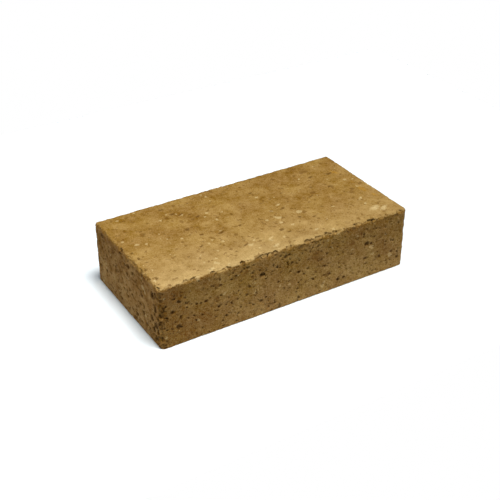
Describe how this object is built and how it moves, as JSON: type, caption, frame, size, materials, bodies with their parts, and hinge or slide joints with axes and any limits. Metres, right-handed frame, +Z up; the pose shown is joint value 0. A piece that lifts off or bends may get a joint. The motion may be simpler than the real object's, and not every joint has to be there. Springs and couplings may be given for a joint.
{
  "type": "tuff block",
  "caption": "Solid rectangular block of porous, yellow-brown volcanic tuff with rubbed, crumbled arrises and open pores, for walls, edging and paving.",
  "frame": {"origin": "centre of the bed face, which lies on the floor", "axes": "+X along the length, +Z up through the thickness, and the long face with the most crumbled top arris faces -Y"},
  "size_m": [0.25, 0.125, 0.06],
  "materials": {
    "tuff": "sawn, rubbed by handling, matt and porous"
  },
  "bodies": {
    "root": {"tuff_block": "tuff"}
  },
  "joints": []
}
